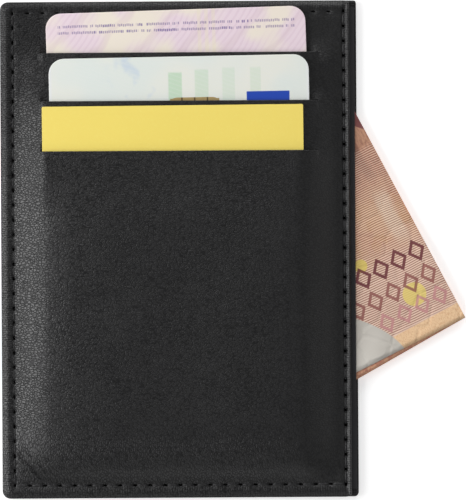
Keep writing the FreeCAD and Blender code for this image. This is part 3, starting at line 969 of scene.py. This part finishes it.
def tapes():
    bounds = (
        (1, level(HEM_TOP), LEAF_2),
        (2, over(LEAF_2, LEAF), LEAF_3),
        (3, over(LEAF_3, LEAF), LEAF_4),
    )
    for number, lower, upper in bounds:
        for side in ("left", "right", "floor"):
            node = "pocket_%d_tape_%s" % (number, side)
            plan, _, _ = plan_of(node)
            low, high = tucked(lower), tucked(upper)
            obj = slab_between(node + "_strip", plan, low, high, 0.8, TAPE)
            finish_piece(obj, "holder", node)


def fillers():
    """Joining strips, their painted edges set back a little from the panels'."""
    back = 0.25
    square = 0.1
    for side in ("left", "top", "bottom"):
        node = "edge_filler_" + side
        (x0, x1, y0, y1), z0, z1 = plan_of(node)
        radii = None
        if side == "left":
            plan = (x0 + back, x1, y0, y1)
        elif side == "top":
            plan = (x0 + back, x1 - back, y0, y1 - back)
            radii = (square, square, R_UPPER_RIGHT, R_LEFT)
        else:
            plan = (x0 + back, x1 - back, y0 + back, y1)
            radii = (R_LEFT, R_LOWER_RIGHT, square, square)
        strip = node + "_strip"
        obj = slab_between(strip, plan, level(z0), level(z1), 0.5, BLACK, radii)
        finish_piece(obj, "holder", node)


def stiffener():
    """The CAD's own board, in its material."""
    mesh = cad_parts["back_stiffener"].data
    mesh.materials.clear()
    mesh.materials.append(board())


lining_sheets()
tapes()
fillers()
stiffener()


# ---- threads ----
def stitch_points(p0, p1, ground, sign, points, faces):
    """Adds one stitch: a twisted strand arched over the leather, which dives into the
    holes at its ends."""
    p0, p1 = np.array(p0), np.array(p1)
    length = float(np.linalg.norm(p1 - p0))
    ahead = (p1 - p0) / length
    side = np.array((-ahead[1], ahead[0]))
    rings, spokes = 15, 10
    start = len(points)
    for k in range(rings):
        t = k / (rings - 1)
        along = STITCH_END + t * (length - 2 * STITCH_END)
        centre = p0 + ahead * along
        lift = 0.03 - 0.55 * abs(2 * t - 1) ** 5
        taper = 1 - 0.25 * abs(2 * t - 1) ** 6
        for j in range(spokes):
            a = 2 * math.pi * j / spokes
            r = STRAND_R * taper * (1 + 0.16 * math.cos(2 * a - 7.5 * along))
            flat = centre + side * (r * 1.05 * math.cos(a))
            z = ground + sign * (lift + 0.75 * r * math.sin(a))
            points.append((flat[0], flat[1], z))
    for k in range(rings - 1):
        for j in range(spokes):
            a, b = start + k * spokes + j, start + k * spokes + (j + 1) % spokes
            quad = (a, b, b + spokes, a + spokes)
            faces.append(quad if sign > 0 else quad[::-1])
    first = tuple(start + j for j in range(spokes))
    last = tuple(start + (rings - 1) * spokes + j for j in range(spokes))
    faces.append(first[::-1] if sign > 0 else first)
    faces.append(last if sign > 0 else last[::-1])


def thread(node, seams, x1, ground, sign):
    """All stitches of one thread; sign is the way its face looks along Z."""
    points, faces = [], []
    for seam in seams:
        ends = stitch_ends(*seam_lines(x1)[seam])
        for a, b in zip(ends, ends[1:]):
            stitch_points(a, b, ground, sign, points, faces)
    obj = add_mesh(node + "_stitches", points, faces, THREAD)
    finish_piece(obj, "holder", node)


CLOSED, MOUTH = ("left", "top", "bottom"), ("right",)
thread("closed_seam_needle_thread", CLOSED, SEAM_FRONT_X, FRONT_FACE_Z, 1)
thread("front_mouth_needle_thread", MOUTH, SEAM_FRONT_X, FRONT_FACE_Z, 1)
thread("front_mouth_bobbin_thread", MOUTH, SEAM_FRONT_X, FRONT_INSIDE_Z, -1)
thread("closed_seam_bobbin_thread", CLOSED, SEAM_BACK_X, BACK_FACE_Z, -1)
thread("back_mouth_needle_thread", MOUTH, SEAM_BACK_X, BACK_FACE_Z, -1)
thread("back_mouth_bobbin_thread", MOUTH, SEAM_BACK_X, BACK_INSIDE_Z, 1)


# ---- cards ----
CORNER_STEPS = 8


def outline_points(w, l, r, inset):
    """Rounded card outline with its top edge's middle at the origin."""
    points = []
    drawn_r = max(r - inset, 0.01)
    corners = ((w / 2, 0, 0), (-w / 2, 0, 90), (-w / 2, -l, 180), (w / 2, -l, 270))
    for cx, cy, start in corners:
        mx, my = cx - math.copysign(r, cx), cy + (r if cy < 0 else -r)
        for k in range(CORNER_STEPS + 1):
            a = math.radians(start + k * 90 / CORNER_STEPS)
            points.append((mx + drawn_r * math.cos(a), my + drawn_r * math.sin(a)))
    return points


def card_mesh(name, w, l, t, r, edge, material):
    """Flat card with softly rounded edges."""
    profile = [(edge, 0.0), (edge * 0.3, edge * 0.3), (0.0, edge)]
    profile += [(0.0, t - edge), (edge * 0.3, t - edge * 0.3), (edge, t)]
    points, faces, n = [], [], 4 * (CORNER_STEPS + 1)
    for inset, z in profile:
        points += [(x, y, z) for x, y in outline_points(w, l, r, inset)]
    for k in range(len(profile) - 1):
        for i in range(n):
            j = (i + 1) % n
            faces.append((k * n + i, k * n + j, (k + 1) * n + j, (k + 1) * n + i))
    faces.append(tuple(range(n))[::-1])
    faces.append(tuple(range((len(profile) - 1) * n, len(profile) * n)))
    return add_mesh(name, points, faces, material, False)


def put(obj, x, y, z, turn):
    """Places obj in millimetres, turned about Z by degrees."""
    obj.location = (x * MM, y * MM, z * MM)
    obj.rotation_euler = (0, 0, math.radians(turn))
    bpy.context.view_layer.update()


def lean(obj, plane, slit_y):
    """Leans a level card into its plane, about the line where it crosses its slit."""
    rise = float(plane(0, 1) - plane(0, 0))
    about = Vector((0, slit_y * MM, float(plane(0, slit_y)) * MM))
    there, back = Matrix.Translation(about), Matrix.Translation(-about)
    turn = Matrix.Rotation(math.atan(rise), 4, "X")
    obj.matrix_world = there @ turn @ back @ obj.matrix_world
    bpy.context.view_layer.update()


def add_card(name, size, at, turn, plane, slit_y, colour, finish):
    """Puts a card into its slit; colour is not used."""
    obj = card_mesh(name + "_card", *size, finish)
    put(obj, *at, float(plane(0, slit_y)), turn)
    lean(obj, plane, slit_y)
    node = "card_" + name
    finish_piece(obj, node + "_body", node)


def cards():
    top = (ID_CARD, TOP_CARD_AT, TOP_CARD_TURN, UNDER_1, SLITS[0], "pink", pink_card())
    middle = (ID_CARD, MIDDLE_CARD_AT, MIDDLE_CARD_TURN, UNDER_2, SLITS[1], "white", pale_card())
    bottom = (PAPER_CARD, BOTTOM_CARD_AT, BOTTOM_CARD_TURN, UNDER_3, SLITS[2], "yellow", yellow_card())
    add_card("top", *top)
    add_card("middle", *middle)
    add_card("bottom", *bottom)


def chip_pads():
    """Plans of the contact plate's eight raised pads and its centre pad."""
    pitch, length, near, far, gap = 3.0, 2.85, 1.6, 5.1, 0.25
    pads = []
    for k in range(4):
        y1 = -gap - pitch * k
        pads += [(-far, -near, y1 - length, y1), (near, far, y1 - length, y1)]
    return pads + [(-1.45, 1.45, -12.1, -gap)]


def raised_pads(plans, material):
    """Low blocks with their upper edges drawn in."""
    points, faces = [], []
    for x0, x1, y0, y1 in plans:
        start = len(points)
        for inset, z in ((0.0, 0.0), (0.0, 0.012), (0.05, 0.02)):
            a, b, c, d = x0 + inset, x1 - inset, y0 + inset, y1 - inset
            points += [(a, c, z), (b, c, z), (b, d, z), (a, d, z)]
        for p in (start, start + 4):
            for i in range(4):
                j = (i + 1) % 4
                faces.append((p + i, p + j, p + 4 + j, p + 4 + i))
        faces.append(tuple(start + 8 + i for i in range(4)))
        faces.append(tuple(start + i for i in range(4))[::-1])
    above_plate = 0.055
    return add_mesh("chip_pads", np.array(points) + (0, 0, above_plate), faces, material, False)


def chip():
    """Contact plate set into the middle card's face, with its pads."""
    gold = gold_plate()
    plate, pads = card_mesh("chip_base", *CHIP_PLATE, gold), raised_pads(chip_pads(), gold)
    turn = math.radians(MIDDLE_CARD_TURN)
    x = MIDDLE_CARD_AT[0] + CHIP_ACROSS * math.cos(turn) + CHIP_DOWN * math.sin(turn)
    y = MIDDLE_CARD_AT[1] + CHIP_ACROSS * math.sin(turn) - CHIP_DOWN * math.cos(turn)
    sunk = 0.05
    z = float(UNDER_2(0, SLITS[1])) + CARD_T - sunk
    for obj in (plate, pads):
        put(obj, x, y, z, MIDDLE_CARD_TURN)
        lean(obj, UNDER_2, SLITS[1])
        finish_piece(obj, "card_middle_body", "chip_contact_plate")


cards()
chip()


# ---- folded note ----
def note_points(vs):
    """Rings of points across the sheet, round its fold; v runs along the fold."""
    fold_r, paper_half, steps = 0.09, 0.055, 8
    flat = spaced((NOTE_HALF_L, 0.0), 1.0)
    arc = [k * math.pi / steps for k in range(1, steps)]
    skew_back = math.radians(NOTE_BACK_DIR - NOTE_TURN - 180)
    skew_front = math.radians(NOTE_FRONT_DIR - NOTE_TURN - 180)
    low, high = mm_box("folded_note")
    z_back, z_front = low[2] + paper_half, high[2] - paper_half
    middle, r = (z_back + z_front) / 2, (z_front - z_back) / 2
    points = []
    for v in vs:
        line = []
        for u in flat:
            line.append((-u * math.cos(skew_back), v - u * math.sin(skew_back), z_back))
        for a in arc:
            line.append((fold_r * math.sin(a), v, middle - r * math.cos(a)))
        for u in flat[::-1]:
            line.append((-u * math.cos(skew_front), v - u * math.sin(skew_front), z_front))
        points += line
    return np.array(points)


def folded_note():
    """One sheet folded in half, a little skewed; it bows where nothing holds it."""
    vs = spaced((0.0, NOTE_W), 1.0)
    points = note_points(vs)
    n = len(points) // len(vs)
    faces = []
    for k in range(len(vs) - 1):
        for i in range(n - 1):
            a = k * n + i
            faces.append((a, a + 1, a + n + 1, a + n))
    turn = math.radians(NOTE_TURN)
    row_x = NOTE_CORNER[0] + points[:, 0] * math.cos(turn) - points[:, 1] * math.sin(turn)
    clear_of_mouth, growth = 37.5, 14.0
    free = smooth((row_x - clear_of_mouth) / growth)
    wave = np.sin(points[:, 1] / 7.0 + points[:, 0] / 11.0)
    points[:, 2] += free * (0.22 * wave + 0.12 * relief(points[:, 0], points[:, 1], 6.0, 3))
    obj = add_mesh("folded_note_paper", points, faces, note_paper())
    paper = obj.modifiers.new("thickness", "SOLIDIFY")
    paper.thickness = NOTE_PAPER * MM
    paper.offset = 0
    put(obj, *NOTE_CORNER, 0.0, NOTE_TURN)
    finish_piece(obj, "note_body", "folded_note")


folded_note()


# ---- studio ----
def floor():
    """White paper that the holder lies on."""
    s = Surface("floor_paper", 0.9, Emission_Color=(1, 1, 1, 1), Emission_Strength=0.55)
    s.colour(s.mix((0.72, 0.72, 0.72, 1), (0.76, 0.76, 0.76, 1), s.noise(40.0, 2.0)))
    mesh = bpy.data.meshes.new("floor")
    r = 1.5
    mesh.from_pydata([(-r, -r, 0), (r, -r, 0), (r, r, 0), (-r, r, 0)], [], [(0, 1, 2, 3)])
    mesh.materials.append(s.made)
    obj = bpy.data.objects.new("floor", mesh)
    clear_of_back = 0.02
    obj.location.z = -clear_of_back * MM
    bpy.context.scene.collection.objects.link(obj)


def area_light(name, place, size, power):
    """Soft light aimed at the holder."""
    data = bpy.data.lights.new(name, "AREA")
    data.shape = "RECTANGLE"
    data.size, data.size_y = size
    data.energy = power
    obj = bpy.data.objects.new(name, data)
    bpy.context.scene.collection.objects.link(obj)
    obj.location = place
    aim = obj.location * -1.0
    obj.rotation_euler = aim.to_track_quat("-Z", "Y").to_euler()


def studio():
    world = bpy.data.worlds.new("studio")
    bpy.context.scene.world = world
    world.use_nodes = True
    background = world.node_tree.nodes["Background"]
    background.inputs["Color"].default_value = (1, 1, 1, 1)
    background.inputs["Strength"].default_value = 0.235
    area_light("key_left", (-0.55, 0.05, 0.32), (0.5, 0.5), 4.3)
    area_light("fill_top", (0.05, 0.62, 0.26), (0.6, 0.25), 2.3)
    area_light("fill_right", (0.58, -0.10, 0.28), (0.4, 0.3), 0.2)
    area_light("fill_bottom", (0.0, -0.62, 0.26), (0.6, 0.25), 0.45)
    bpy.context.scene.view_settings.view_transform = "Standard"


def camera():
    """Looks straight down through a long lens, rolled by a small angle."""
    data = bpy.data.cameras.new("camera")
    data.lens = 600.0
    data.sensor_width = 36.0
    data.clip_start, data.clip_end = 0.01, 10.0
    obj = bpy.data.objects.new("camera", data)
    bpy.context.scene.collection.objects.link(obj)
    seen_height, middle_x, middle_y, face_z = 103.8, 10.98, -0.27, RIM_TOP + 1.5
    height = seen_height / data.sensor_width * data.lens + face_z
    obj.location = (middle_x * MM, middle_y * MM, height * MM)
    obj.rotation_euler = (0, 0, math.radians(-0.35))
    bpy.context.scene.camera = obj


floor()
studio()
camera()
